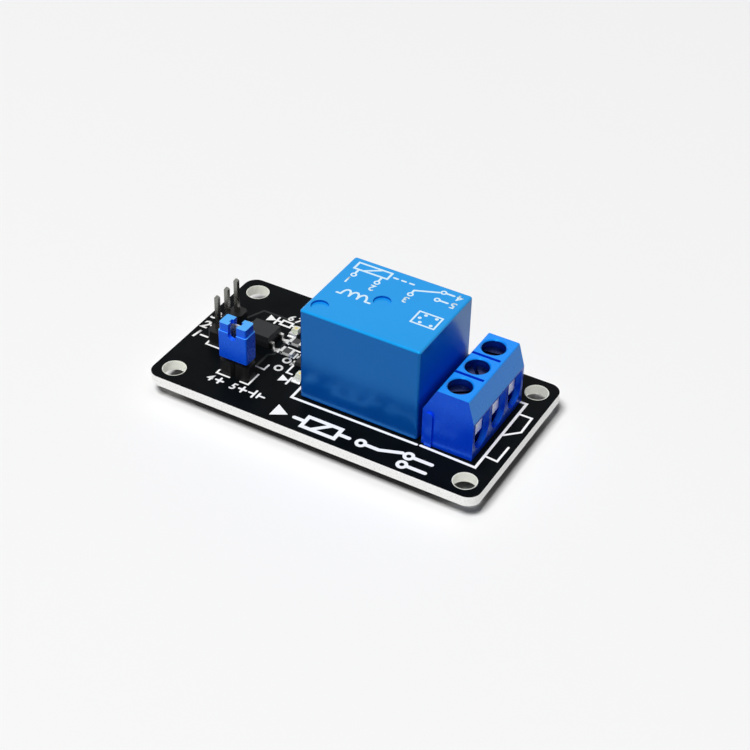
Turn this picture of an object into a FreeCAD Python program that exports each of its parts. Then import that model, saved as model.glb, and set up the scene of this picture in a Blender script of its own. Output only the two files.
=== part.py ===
import FreeCAD, Part
import math
import os

Vec = FreeCAD.Vector

# Relay module board: one relay, a three-way screw terminal, a signal header,
# a supply jumper and the small driver parts on a printed circuit board.
# All sizes are in millimetres. +X runs from the signal header to the screw
# terminal, +Y to the back edge, +Z up. The origin is under the board's centre,
# at the level of the longest solder tails, on which the module stands.

# Board
board_width = 28.5
board_thickness = 1.6
board_corner_radius = 2.0
screw_hole_diameter = 3.4
screw_hole_inset = 3.0
tail_reach = 2.2
tail_hole_gap = 0.2

# Layout along X, from the left edge to the right edge
header_inset = 5.0
header_to_opto = 5.2
driver_zone = 8.55
relay_to_terminal = 0.65
terminal_to_edge = 4.1

# Layout along Y, from the board's centre line
header_y = 0.0
opto_y = 1.4
relay_y = 0.3
terminal_from_relay_front = 0.18

# General fits
press_gap = 0.05
slide_gap = 0.1

# Pin headers
pin_pitch = 2.54
pin_side = 0.64
pin_taper = 0.3
pin_rise = 5.9
pin_tail = 3.0
header_base_height = 2.5
header_base_depth = 2.5
header_base_chamfer = 0.5
signal_pin_count = 3
jumper_pin_count = 2
jumper_inset_x = 11.65
jumper_inset_y = 6.8

# Jumper cap and its spring clip
cap_over_pins = 0.8
cap_lift = 0.7
cap_end_wall = 0.55
cap_side_wall = 0.7
cap_corner_radius = 0.3
cap_step_drop = 1.4
cap_step_inset = 0.15
cap_notch_width = 1.4
cap_notch_depth = 2.4
cap_slot_length = 2.0
cap_slot_width = 0.7
clip_thickness = 0.2
clip_height = 4.0
clip_grip_gap = 0.03

# Relay housing
relay_length = 19.1
relay_width = 15.4
relay_height = 15.2
relay_standoff = 0.3
cover_wall = 0.8
cover_top = 0.9
cover_edge_radius = 0.4
base_thickness = 1.2
base_foot_width = 1.4
mark_radius = 1.3
mark_depth = 0.35
mark_inset_x = 1.9
mark_inset_y = 2.3
gate_offset_x = 0.75

# Relay mechanism
yoke_thickness = 1.0
yoke_width = 8.0
yoke_bend_radius = 0.4
bobbin_height = 7.6
bobbin_flange = 0.7
bobbin_flange_width = 9.4
bobbin_tube_wall = 0.6
core_radius = 1.6
core_foot_radius = 1.2
pole_radius = 3.2
pole_thickness = 0.8
winding_radius = 4.1
armature_thickness = 1.0
armature_setback = 0.5
armature_overhang = 0.6
armature_residual_gap = 0.05
armature_lift = 3.0
spring_thickness = 0.15
spring_width = 5.0
spring_leg_drop = 7.0
contact_radius = 1.2
contact_height = 0.45
contact_shank_radius = 0.5
contact_reach = 4.2
contact_gap = 0.1
contact_blade = 0.5
contact_blade_width = 2.6
load_pin_width = 1.0
load_pin_inset_x = 2.45
load_pin_inset_y = 1.7
coil_pin_width = 0.6
coil_pin_rise = 2.6
coil_pin_inset_x = 4.45
common_blade_width = 4.0
common_blade_rise = 3.4

# Screw terminal housing
pole_pitch = 5.08
pole_count = 3
terminal_depth = 7.9
terminal_height = 10.0
terminal_end_wall = 0.6
pole_wall = 0.9
rear_bevel_run = 2.05
rear_bevel_drop = 3.9
front_bevel_run = 1.0
front_bevel_drop = 3.6
terminal_edge_radius = 0.25
rear_wall = 1.3
front_wall = 0.9
entry_floor = 0.95
entry_top_drop = 3.9
well_radius = 1.75
well_chamfer = 0.2
core_slot_width = 0.5
core_slot_depth = 1.6
core_slot_inset = 1.6
key_width = 1.1
key_depth = 0.35
key_inset = 0.6
key_height = 5.9

# Terminal contact frame, clamp plate and screw
screw_from_front = 3.7
frame_foot_level = 1.2
frame_strip = 0.8
frame_top_strip = 1.0
frame_mouth = 4.1
frame_bend_radius = 0.9
terminal_pin_x = 1.0
terminal_pin_y = 0.8
clamp_plate_thickness = 0.4
clamp_leg_thickness = 0.9
clamp_leg_length = 4.35
clamp_height = 4.0
clamp_travel = 2.0
screw_radius = 1.2
screw_thread_gap = 0.05
screw_head_radius = 1.6
screw_head_height = 1.6
screw_slot_width = 0.5
screw_slot_depth = 0.7
screw_slot_angles = (35, -50, 10)
neck_radius = 0.72
neck_gap = 0.08
button_radius = 1.1
button_thickness = 0.35

# Optocoupler, transistor and diode packages
opto_length = 4.4
opto_width = 3.6
opto_height = 2.0
opto_lead_span = 7.0
opto_lead_width = 0.5
opto_dot_radius = 0.3
opto_dot_inset = 0.8
opto_dot_depth = 0.1
transistor_length = 2.9
transistor_width = 1.3
transistor_height = 1.0
transistor_lead_span = 2.4
transistor_lead_width = 0.4
transistor_lead_pitch = 0.95
diode_length = 4.3
diode_width = 2.6
diode_height = 2.0
diode_lead_span = 5.2
diode_lead_width = 1.5
package_standoff = 0.1
package_draft = 0.12
lead_thickness = 0.2

# Chip resistors and light-emitting diodes
chip_length = 2.0
chip_width = 1.25
chip_height = 0.5
chip_cap_length = 0.4
chip_cap_thickness = 0.04
led_base_height = 0.3
led_lens_height = 0.5
led_lens_length = 1.3

# Places of the small driver parts
resistor_gap = 0.6
resistor_rows = (3.0, 0.35)
pull_resistor_from_relay = 6.5
pull_resistor_y = 6.4
power_led_from_relay = 8.6
power_led_y = 5.4
transistor_from_relay = 3.7
transistor_y = -0.6
diode_from_relay = 3.2
diode_y = 4.4
relay_led_from_relay = 2.3
relay_led_y = -3.6

# Solder
solder_pad_radius = 0.95
solder_cone_height = 0.9
solder_tip_margin = 0.12
solder_facets = 8

# Levels
board_bottom = tail_reach
board_top = board_bottom + board_thickness

# Places along X, worked out from the left edge
relay_left_from_edge = header_inset + header_to_opto + opto_lead_span / 2 + driver_zone
terminal_back_from_edge = relay_left_from_edge + relay_length + relay_to_terminal
board_length = terminal_back_from_edge + terminal_depth + terminal_to_edge
left_edge = -board_length / 2
front_edge = -board_width / 2
header_x = left_edge + header_inset
opto_x = header_x + header_to_opto
opto_lead_end = opto_x + opto_lead_span / 2
relay_left = left_edge + relay_left_from_edge
relay_x = relay_left + relay_length / 2
terminal_back = left_edge + terminal_back_from_edge
terminal_front = terminal_back + terminal_depth
screw_x = terminal_front - screw_from_front
jumper_x = left_edge + jumper_inset_x
jumper_y = front_edge + jumper_inset_y

# Relay levels, from the board up
relay_floor = board_top + relay_standoff
relay_top = relay_floor + relay_height
relay_ceiling = relay_top - cover_top
base_top = relay_floor + base_thickness
yoke_floor_top = base_top + yoke_thickness
pole_bottom = yoke_floor_top + bobbin_height
pole_face = pole_bottom + pole_thickness

# Relay places, from its centre
inner_length = relay_length - 2 * cover_wall
inner_width = relay_width - 2 * cover_wall
relay_front = relay_y - relay_width / 2
common_x = relay_left + load_pin_inset_x
load_x = relay_left + relay_length - load_pin_inset_x
coil_pin_x = relay_left + coil_pin_inset_x
load_pin_spread = relay_width - 2 * load_pin_inset_y
common_inner = common_x + contact_blade / 2
yoke_back = common_inner + spring_thickness
yoke_inner = yoke_back + yoke_thickness
core_x = yoke_inner + yoke_bend_radius + bobbin_flange_width / 2
armature_end = core_x + pole_radius + armature_overhang
contact_x = core_x + pole_radius + contact_reach - contact_radius

# Armature levels with the relay drawn in; at rest the set is turned up by the lift
armature_bottom = pole_face + armature_residual_gap
armature_top = armature_bottom + armature_thickness
hinge_point = Vec(yoke_back, relay_y, pole_face)
lift_rad = math.radians(armature_lift)
contact_swing = (contact_x - yoke_back) * math.sin(lift_rad)
lower_contact_face = armature_top - contact_height - contact_gap
upper_contact_face = armature_top + spring_thickness + contact_height + contact_swing + contact_gap

# Terminal levels
terminal_top = board_top + terminal_height
foot_bottom = board_top + frame_foot_level
foot_top = foot_bottom + frame_strip
frame_lintel = foot_top + frame_mouth
frame_top = frame_lintel + frame_top_strip
chamber_top = frame_top + slide_gap
plate_bottom = foot_top + slide_gap
plate_top = plate_bottom + clamp_height
leg_top = plate_bottom + clamp_leg_thickness
riser_top = plate_top + clamp_travel + slide_gap
head_bottom = frame_top + slide_gap
head_top = head_bottom + screw_head_height
chamber_back = terminal_back + rear_wall
chamber_front = terminal_front - front_wall
plate_front = chamber_front - press_gap
plate_back = plate_front - clamp_plate_thickness
frame_front = plate_back - slide_gap - press_gap
chamber_half = (pole_pitch - pole_wall) / 2
terminal_half = (pole_count - 1) / 2 * pole_pitch + chamber_half + terminal_end_wall
terminal_y = relay_front + terminal_from_relay_front + terminal_half
pole_rows = [terminal_y + (i - (pole_count - 1) / 2) * pole_pitch for i in range(pole_count)]


def box(x0, x1, y0, y1, z0, z1):
    return Part.makeBox(x1 - x0, y1 - y0, z1 - z0, Vec(x0, y0, z0))


def box_at(x, y, length, width, z0, z1):
    return box(x - length / 2, x + length / 2, y - width / 2, y + width / 2, z0, z1)


def cylinder(x, y, radius, z0, z1):
    return Part.makeCylinder(radius, z1 - z0, Vec(x, y, z0))


def frustum(low_ring, high_ring):
    # A closed solid between two flat rings of the same number of points.
    count = len(low_ring)
    faces = [Part.Face(Part.makePolygon(ring + ring[:1])) for ring in (low_ring, high_ring)]
    for i in range(count):
        k = (i + 1) % count
        side = [low_ring[i], low_ring[k], high_ring[k], high_ring[i], low_ring[i]]
        faces.append(Part.Face(Part.makePolygon(side)))
    return Part.makeSolid(Part.makeShell(faces))


def many_sided(x, y, radius0, radius1, z0, z1):
    # A round form that repeats often, with few flat sides.
    turns = [2 * math.pi * (i + 0.5) / solder_facets for i in range(solder_facets)]
    rings = []
    for radius, z in ((radius0, z0), (radius1, z1)):
        rings.append([Vec(x + radius * math.cos(a), y + radius * math.sin(a), z) for a in turns])
    return frustum(rings[0], rings[1])


def prism_xz(points, y0, y1):
    # A closed outline in the XZ plane, drawn out along Y.
    corners = [Vec(x, y0, z) for x, z in points]
    face = Part.Face(Part.makePolygon(corners + corners[:1]))
    return face.extrude(Vec(0, y1 - y0, 0))


def prism_xy(points, z0, z1):
    # A closed outline in the XY plane, drawn up along Z.
    corners = [Vec(x, y, z0) for x, y in points]
    face = Part.Face(Part.makePolygon(corners + corners[:1]))
    return face.extrude(Vec(0, 0, z1 - z0))


def edges_along(shape, axis):
    # The straight edges that run along one axis, 0 for X, 1 for Y and 2 for Z.
    chosen = []
    for edge in shape.Edges:
        ends = [v.Point for v in edge.Vertexes]
        if len(ends) == 2 and edge.Curve.TypeId == "Part::GeomLine":
            run = ends[1] - ends[0]
            if abs(abs(run[axis]) - run.Length) < 1e-6:
                chosen.append(edge)
    return chosen


def edges_near(shape, axis, places, reach=0.01):
    # Of those edges, the ones that pass through the given places in the plane across the axis.
    across = [k for k in range(3) if k != axis]
    chosen = []
    for edge in edges_along(shape, axis):
        point = edge.Vertexes[0].Point
        for place in places:
            if abs(point[across[0]] - place[0]) < reach and abs(point[across[1]] - place[1]) < reach:
                chosen.append(edge)
                break
    return chosen


def loft_block(x, y, length, width, z0, z1, inset0, inset1):
    # A four-sided block whose ends are drawn in by the two insets.
    rings = []
    for z, inset in ((z0, inset0), (z1, inset1)):
        a, b = length / 2 - inset, width / 2 - inset
        rings.append([Vec(x - a, y - b, z), Vec(x + a, y - b, z), Vec(x + a, y + b, z), Vec(x - a, y + b, z)])
    return frustum(rings[0], rings[1])


def tapered_pin(x, y, side_x, side_y, z0, z1, taper0, taper1):
    # A square pin with both ends drawn to a blunt point.
    inset = min(side_x, side_y) / 4
    body = loft_block(x, y, side_x, side_y, z0 + taper0, z1 - taper1, 0, 0)
    if taper0 > 0:
        body = body.fuse(loft_block(x, y, side_x, side_y, z0, z0 + taper0, inset, 0))
    if taper1 > 0:
        body = body.fuse(loft_block(x, y, side_x, side_y, z1 - taper1, z1, 0, inset))
    return body.removeSplitter()


def join(shapes):
    whole = shapes[0]
    for shape in shapes[1:]:
        whole = whole.fuse(shape)
    return whole.removeSplitter()


# Tails that pass through the board: place, section and hole radius
def header_places():
    rows = [header_y + (i - (signal_pin_count - 1) / 2) * pin_pitch for i in range(signal_pin_count)]
    return [(header_x, row) for row in rows]


def jumper_places():
    columns = [jumper_x + (i - (jumper_pin_count - 1) / 2) * pin_pitch for i in range(jumper_pin_count)]
    return [(column, jumper_y) for column in columns]


def relay_pin_sections():
    sections = []
    for sign in (-1, 1):
        sections.append((load_x, relay_y + sign * load_pin_spread / 2, load_pin_width, contact_blade))
        sections.append((coil_pin_x, relay_y + sign * load_pin_spread / 2, coil_pin_width, coil_pin_width))
    sections.append((common_x, relay_y, contact_blade, load_pin_width))
    return sections


def tails():
    places = [(x, y, pin_side, pin_side) for x, y in header_places() + jumper_places()]
    terminal_places = [(screw_x, row, terminal_pin_x, terminal_pin_y) for row in pole_rows]
    return places + relay_pin_sections() + terminal_places


def tail_hole_radius(side_x, side_y):
    return math.hypot(side_x, side_y) / 2 + tail_hole_gap / 2


# Circuit board
def screw_hole_places():
    a = board_length / 2 - screw_hole_inset
    b = board_width / 2 - screw_hole_inset
    return [(sx * a, sy * b) for sx in (-1, 1) for sy in (-1, 1)]


def make_circuit_board():
    board = box_at(0, 0, board_length, board_width, board_bottom, board_top)
    board = board.makeFillet(board_corner_radius, edges_along(board, 2))
    holes = [cylinder(x, y, screw_hole_diameter / 2, board_bottom, board_top) for x, y in screw_hole_places()]
    for x, y, side_x, side_y in tails():
        radius = tail_hole_radius(side_x, side_y)
        holes.append(many_sided(x, y, radius, radius, board_bottom, board_top))
    return board.cut(Part.Compound(holes))


def make_solder_joints():
    # Each joint fills its plated hole and rises as a cone round the tail under the board.
    joints = []
    for x, y, side_x, side_y in tails():
        tip = math.hypot(side_x, side_y) / 2 + solder_tip_margin
        low = board_bottom - solder_cone_height
        radius = tail_hole_radius(side_x, side_y)
        fill = many_sided(x, y, radius, radius, board_bottom, board_top)
        cone = many_sided(x, y, tip, solder_pad_radius, low, board_bottom)
        tail = box_at(x, y, side_x, side_y, low, board_top)
        joints.append(fill.fuse(cone).removeSplitter().cut(tail))
    return Part.Compound(joints)


# Pin headers
def make_header_base(places, along):
    # A moulded strip with one bay for each pin; its corners and waists are chamfered.
    bays = []
    for x, y in places:
        half_run, half_depth = pin_pitch / 2, header_base_depth / 2
        c = header_base_chamfer
        ring = [(-half_run, -half_depth + c), (-half_run + c, -half_depth), (half_run - c, -half_depth),
                (half_run, -half_depth + c), (half_run, half_depth - c), (half_run - c, half_depth),
                (-half_run + c, half_depth), (-half_run, half_depth - c)]
        if along == "y":
            ring = [(v, u) for u, v in ring]
        outline = [(x + u, y + v) for u, v in ring]
        bays.append(prism_xy(outline, board_top, board_top + header_base_height))
    base = join(bays)
    for x, y in places:
        base = base.cut(box_at(x, y, pin_side, pin_side, board_top, board_top + header_base_height))
    return base


def make_header_pins(places):
    top = board_top + header_base_height + pin_rise
    low = board_top - pin_tail
    pins = [tapered_pin(x, y, pin_side, pin_side, low, top, pin_taper, pin_taper) for x, y in places]
    return Part.Compound(pins)


# Jumper cap
clip_inner_half_x = (jumper_pin_count - 1) / 2 * pin_pitch + pin_side / 2 + clip_grip_gap
clip_inner_half_y = pin_side / 2 + clip_grip_gap
clip_half_x = clip_inner_half_x + clip_thickness
clip_half_y = clip_inner_half_y + clip_thickness
cap_cavity_x = clip_half_x + press_gap
cap_cavity_y = clip_half_y + press_gap
cap_half_x = cap_cavity_x + cap_end_wall
cap_half_y = cap_cavity_y + cap_side_wall
cap_bottom = board_top + header_base_height + cap_lift
cap_top = board_top + header_base_height + pin_rise + cap_over_pins
cap_ceiling = cap_top - cap_over_pins + slide_gap


def make_jumper_cap():
    step_level = cap_top - cap_step_drop
    lower = box_at(jumper_x, jumper_y, 2 * cap_half_x, 2 * cap_half_y, cap_bottom, step_level)
    lower = lower.makeFillet(cap_corner_radius, edges_along(lower, 2))
    upper = box_at(jumper_x, jumper_y, 2 * (cap_half_x - cap_step_inset),
                   2 * (cap_half_y - cap_step_inset), step_level, cap_top)
    upper = upper.makeFillet(cap_corner_radius, edges_along(upper, 2))
    cap = lower.fuse(upper).removeSplitter()
    cavity = box_at(jumper_x, jumper_y, 2 * cap_cavity_x, 2 * cap_cavity_y, cap_bottom, cap_ceiling)
    slot = box_at(jumper_x, jumper_y, cap_slot_length, cap_slot_width, cap_ceiling, cap_top)
    half_notch = cap_notch_width / 2
    notch_floor = cap_top - cap_notch_depth + half_notch
    notch = box_at(jumper_x, jumper_y, cap_notch_width, 2 * cap_half_y, notch_floor, cap_top)
    round_end = Part.makeCylinder(half_notch, 2 * cap_half_y,
                                  Vec(jumper_x, jumper_y - cap_half_y, notch_floor), Vec(0, 1, 0))
    return cap.cut(cavity.fuse(slot)).cut(notch.fuse(round_end))


def make_jumper_clip():
    # A strip bent round both pins, open at the front between them.
    high = cap_ceiling - press_gap
    low = high - clip_height
    ring = box_at(jumper_x, jumper_y, 2 * clip_half_x, 2 * clip_half_y, low, high)
    ring = ring.makeFillet(clip_thickness, edges_along(ring, 2))
    bore = box_at(jumper_x, jumper_y, 2 * clip_inner_half_x, 2 * clip_inner_half_y, low, high)
    mouth = box(jumper_x - cap_notch_width / 2, jumper_x + cap_notch_width / 2,
                jumper_y - clip_half_y, jumper_y, low, high)
    return ring.cut(bore).cut(mouth)


# Relay housing
def make_relay_cover():
    cover = box_at(relay_x, relay_y, relay_length, relay_width, relay_floor, relay_top)
    cover = cover.makeFillet(cover_edge_radius, edges_along(cover, 2))
    rim = [e for e in cover.Edges if all(abs(v.Point.z - relay_top) < 1e-6 for v in e.Vertexes)]
    cover = cover.makeFillet(cover_edge_radius * 0.8, rim)
    hollow = box_at(relay_x, relay_y, inner_length, inner_width, relay_floor, relay_ceiling)
    cover = cover.cut(hollow)
    vent = cylinder(relay_left + mark_inset_x, relay_front + mark_inset_y, mark_radius,
                    relay_top - mark_depth, relay_top)
    gate = cylinder(relay_x - gate_offset_x, relay_y, mark_radius, relay_top - mark_depth, relay_top)
    return cover.cut(vent).cut(gate)


def make_relay_base():
    base = box_at(relay_x, relay_y, inner_length - 2 * press_gap, inner_width - 2 * press_gap,
                  relay_floor, base_top)
    feet = []
    for sx in (-1, 1):
        for sy in (-1, 1):
            foot_x = relay_x + sx * (inner_length / 2 - base_foot_width)
            foot_y = relay_y + sy * (inner_width / 4)
            feet.append(box_at(foot_x, foot_y, base_foot_width, base_foot_width, board_top, relay_floor))
    base = join([base] + feet)
    for x, y, side_x, side_y in relay_pin_sections():
        base = base.cut(box_at(x, y, side_x, side_y, relay_floor, base_top))
    return base


# Relay coil and iron
def make_relay_yoke():
    floor_end = core_x + pole_radius
    outline = [(yoke_back, base_top), (floor_end, base_top), (floor_end, yoke_floor_top),
               (yoke_inner, yoke_floor_top), (yoke_inner, pole_face), (yoke_back, pole_face)]
    yoke = prism_xz(outline, relay_y - yoke_width / 2, relay_y + yoke_width / 2)
    yoke = yoke.makeFillet(yoke_bend_radius, edges_near(yoke, 1, [(yoke_inner, yoke_floor_top)]))
    yoke = yoke.makeFillet(yoke_bend_radius + yoke_thickness / 2, edges_near(yoke, 1, [(yoke_back, base_top)]))
    return yoke.cut(cylinder(core_x, relay_y, core_foot_radius, base_top, yoke_floor_top))


def make_coil_bobbin():
    tube_radius = core_radius + press_gap + bobbin_tube_wall
    width = bobbin_flange_width
    lower = box_at(core_x, relay_y, width, width, yoke_floor_top, yoke_floor_top + bobbin_flange)
    upper = box_at(core_x, relay_y, width, width, pole_bottom - bobbin_flange, pole_bottom)
    tube = cylinder(core_x, relay_y, tube_radius, yoke_floor_top, pole_bottom)
    spool = join([lower, tube, upper])
    return spool.cut(cylinder(core_x, relay_y, core_radius + press_gap, yoke_floor_top, pole_bottom))


def make_coil_winding():
    low = yoke_floor_top + bobbin_flange
    high = pole_bottom - bobbin_flange
    tube_radius = core_radius + press_gap + bobbin_tube_wall
    wound = cylinder(core_x, relay_y, winding_radius, low, high)
    return wound.cut(cylinder(core_x, relay_y, tube_radius + press_gap, low, high))


def make_coil_core():
    foot = cylinder(core_x, relay_y, core_foot_radius, base_top, yoke_floor_top)
    shank = cylinder(core_x, relay_y, core_radius, yoke_floor_top, pole_bottom)
    pole = cylinder(core_x, relay_y, pole_radius, pole_bottom, pole_face)
    return join([foot, shank, pole])


def make_coil_pins():
    pins = []
    for sign in (-1, 1):
        pins.append(tapered_pin(coil_pin_x, relay_y + sign * load_pin_spread / 2, coil_pin_width, coil_pin_width,
                                0, base_top + coil_pin_rise, pin_taper, pin_taper))
    return Part.Compound(pins)


# Relay armature set, made in its drawn-in place and then lifted to rest
def lift(shape):
    return shape.rotated(hinge_point, Vec(0, 1, 0), -armature_lift)


def make_armature():
    half = yoke_width / 2
    shoulder = core_x + pole_radius / 2
    tip_half = spring_width / 2 + armature_thickness / 2
    outline = [(yoke_back + armature_setback, relay_y - half), (shoulder, relay_y - half),
               (armature_end, relay_y - tip_half), (armature_end, relay_y + tip_half),
               (shoulder, relay_y + half), (yoke_back + armature_setback, relay_y + half)]
    return lift(prism_xy(outline, armature_bottom, armature_top))


def make_contact_spring():
    # A leaf that lies on the armature, bends over the hinge and runs down behind the yoke.
    y0 = relay_y - spring_width / 2
    y1 = relay_y + spring_width / 2
    bend_x = yoke_back + armature_setback
    bend_z = armature_top - armature_setback
    leaf = box(bend_x, contact_x + contact_radius, y0, y1, armature_top, armature_top + spring_thickness)
    start = Vec(bend_x, y0, bend_z)
    outer = Part.makeCylinder(armature_setback + spring_thickness, spring_width, start, Vec(0, 1, 0))
    inner = Part.makeCylinder(armature_setback, spring_width, start, Vec(0, 1, 0))
    quarter = box(yoke_back - 2 * spring_thickness, bend_x, y0, y1, bend_z, armature_top + 2 * spring_thickness)
    bend = outer.cut(inner).common(quarter)
    moving = lift(leaf.fuse(bend)).cut(lift(cylinder(contact_x, relay_y, contact_shank_radius,
                                                    armature_top, armature_top + spring_thickness)))
    leg = box(yoke_back - spring_thickness, yoke_back, y0, y1, bend_z - spring_leg_drop, bend_z + spring_thickness / 2)
    return join([moving, leg])


def make_moving_contact():
    # A double-headed rivet through the leaf.
    leaf_top = armature_top + spring_thickness
    lower = cylinder(contact_x, relay_y, contact_radius, armature_top - contact_height, armature_top)
    shank = cylinder(contact_x, relay_y, contact_shank_radius, armature_top, leaf_top)
    upper = cylinder(contact_x, relay_y, contact_radius, leaf_top, leaf_top + contact_height)
    return lift(join([lower, shank, upper]))


# Relay load terminals
def make_load_terminal(side, face_level, button_below):
    # A pin through the base, a blade up the side and an arm that carries the fixed contact.
    pin_y = relay_y + side * load_pin_spread / 2
    half = contact_blade / 2
    if button_below:
        arm_low = face_level + contact_height
        button = cylinder(contact_x, relay_y, contact_radius, face_level, arm_low)
    else:
        arm_low = face_level - contact_height - contact_blade
        button = cylinder(contact_x, relay_y, contact_radius, arm_low + contact_blade, face_level)
    arm_high = arm_low + contact_blade
    blade_x0 = contact_x - contact_blade_width / 2
    blade_x1 = max(contact_x + contact_blade_width / 2, load_x + load_pin_width / 2)
    pin = tapered_pin(load_x, pin_y, load_pin_width, contact_blade, 0, base_top + contact_blade, pin_taper, 0)
    blade = box(blade_x0, blade_x1, pin_y - half, pin_y + half, base_top + contact_blade, arm_high)
    arm_ends = sorted((pin_y + side * half, relay_y - side * (contact_radius + press_gap)))
    arm = box(blade_x0, blade_x1, arm_ends[0], arm_ends[1], arm_low, arm_high)
    bent = blade.fuse(arm).removeSplitter()
    bent = bent.makeFillet(contact_blade * 0.9, edges_near(bent, 0, [(pin_y + side * half, arm_high)]))
    return join([pin, bent, button])


def make_common_terminal():
    pin = tapered_pin(common_x, relay_y, contact_blade, load_pin_width, 0, base_top, pin_taper, 0)
    blade = box_at(common_x, relay_y, contact_blade, common_blade_width, base_top, base_top + common_blade_rise)
    corner = common_blade_width / 8
    blade = blade.makeFillet(corner, edges_along(blade, 0))
    neck = box_at(common_x, relay_y, contact_blade, load_pin_width, base_top, base_top + 2 * corner)
    return join([pin, blade, neck])


# Screw terminal housing
def make_terminal_housing():
    outline = [(terminal_back, board_top), (terminal_back, terminal_top - rear_bevel_drop),
               (terminal_back + rear_bevel_run, terminal_top), (terminal_front - front_bevel_run, terminal_top),
               (terminal_front, terminal_top - front_bevel_drop), (terminal_front, board_top)]
    y0 = terminal_y - terminal_half
    y1 = terminal_y + terminal_half
    housing = prism_xz(outline, y0, y1)
    housing = housing.makeFillet(terminal_edge_radius, edges_near(housing, 1, outline[1:5]))
    key_x = terminal_back + key_inset + key_width / 2
    housing = housing.fuse(end_key(key_x, y0 - key_depth, y0, 0)).removeSplitter()
    housing = housing.cut(end_key(key_x, y1 - key_depth, y1, slide_gap))
    for row in pole_rows:
        housing = housing.cut(pole_space(row))
    for row in pole_rows[1:]:
        housing = housing.cut(core_slot(row - pole_pitch / 2))
    return housing


def end_key(x, y0, y1, spread):
    # The rib on one end, and with some spread the groove on the other, that line blocks up.
    half = key_width / 2 + spread
    top = board_top + key_height - key_width / 2
    post = box(x - half, x + half, y0, y1, board_top, top)
    return post.fuse(Part.makeCylinder(half, y1 - y0, Vec(x, y0, top), Vec(0, 1, 0)))


def pole_space(row):
    # Everything that one pole's metal parts and its wire need inside the housing.
    chamber = box(chamber_back, chamber_front, row - chamber_half, row + chamber_half, board_top, chamber_top)
    riser = box(plate_back - slide_gap, chamber_front, row - chamber_half, row + chamber_half,
                chamber_top, riser_top)
    well = cylinder(screw_x, row, well_radius, chamber_top, terminal_top)
    mouth = Part.makeCone(well_radius, well_radius + well_chamfer, well_chamfer,
                          Vec(screw_x, row, terminal_top - well_chamfer))
    straight = box(chamber_front, terminal_front, row - chamber_half, row + chamber_half,
                   board_top + entry_floor + chamber_half, terminal_top - entry_top_drop)
    trough = Part.makeCylinder(chamber_half, front_wall,
                               Vec(chamber_front, row, board_top + entry_floor + chamber_half), Vec(1, 0, 0))
    return join([chamber, riser, well, mouth, straight, trough])


def core_slot(y):
    x0 = terminal_back + rear_bevel_run
    x1 = terminal_front - front_bevel_run - core_slot_inset / 4
    return box(x0, x1, y - core_slot_width / 2, y + core_slot_width / 2,
               terminal_top - core_slot_depth, terminal_top)


# One pole's metal parts
def make_contact_frame(row):
    half = chamber_half - press_gap
    x0 = chamber_back + press_gap
    strip = box(x0, frame_front, row - half, row + half, foot_bottom, frame_top)
    strip = strip.makeFillet(frame_bend_radius, edges_near(strip, 1, [(x0, foot_bottom), (x0, frame_top)]))
    gap = box(x0 + frame_strip, frame_front, row - half, row + half, foot_top, frame_lintel)
    frame = strip.cut(gap)
    frame = frame.cut(cylinder(screw_x, row, screw_radius + screw_thread_gap, frame_lintel, frame_top))
    pin = tapered_pin(screw_x, row, terminal_pin_x, terminal_pin_y, 0, foot_bottom, pin_taper, 0)
    return join([frame, pin])


def make_clamp_plate(row):
    half = chamber_half - slide_gap - press_gap
    leg = box(plate_front - clamp_leg_length, plate_front, row - half, row + half, plate_bottom, leg_top)
    plate = box(plate_back, plate_front, row - half, row + half, plate_bottom, plate_top)
    clamp = join([leg, plate])
    clamp = clamp.makeFillet(clamp_plate_thickness, edges_near(clamp, 1, [(plate_front, plate_bottom)]))
    pocket_top = plate_bottom + button_thickness + 2 * press_gap
    pocket = cylinder(screw_x, row, button_radius + 2 * neck_gap, plate_bottom, pocket_top)
    bore = cylinder(screw_x, row, neck_radius + neck_gap, pocket_top, leg_top)
    return clamp.cut(pocket).cut(bore)


def make_clamp_screw(row):
    button_low = plate_bottom + press_gap
    button_top = button_low + button_thickness
    shank_low = leg_top + slide_gap
    button = cylinder(screw_x, row, button_radius, button_low, button_top)
    neck = cylinder(screw_x, row, neck_radius, button_top, shank_low)
    shank = cylinder(screw_x, row, screw_radius, shank_low, head_bottom)
    head = cylinder(screw_x, row, screw_head_radius, head_bottom, head_top)
    screw = join([button, neck, shank, head])
    slot = box_at(screw_x, row, 2 * screw_head_radius, screw_slot_width, head_top - screw_slot_depth, head_top)
    slot = slot.rotated(Vec(screw_x, row, 0), Vec(0, 0, 1), screw_slot_angles[pole_rows.index(row)])
    return screw.cut(slot)


# Moulded packages with bent leads
def make_package(x, y, length, width, height):
    low = board_top + package_standoff
    middle = low + height / 2
    lower = loft_block(x, y, length, width, low, middle, package_draft, 0)
    upper = loft_block(x, y, length, width, middle, low + height, 0, package_draft)
    return join([lower, upper])


def make_gull_lead(x, y, side, body_half, span_half, width, level):
    # One lead that leaves the body at a level, bends down and ends in a flat foot.
    t = lead_thickness
    knee = body_half + (span_half - body_half) / 3
    points = [(body_half, level), (knee + t, level), (knee + t, board_top + t), (span_half, board_top + t),
              (span_half, board_top), (knee, board_top), (knee, level - t), (body_half, level - t)]
    outline = [(x + side * u, z) for u, z in points]
    return prism_xz(outline, y - width / 2, y + width / 2)


def make_optocoupler_body():
    body = make_package(opto_x, opto_y, opto_length, opto_width, opto_height)
    top = board_top + package_standoff + opto_height
    dot = cylinder(opto_x - opto_length / 2 + opto_dot_inset, opto_y - opto_width / 2 + opto_dot_inset,
                   opto_dot_radius, top - opto_dot_depth, top)
    return body.cut(dot)


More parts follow.
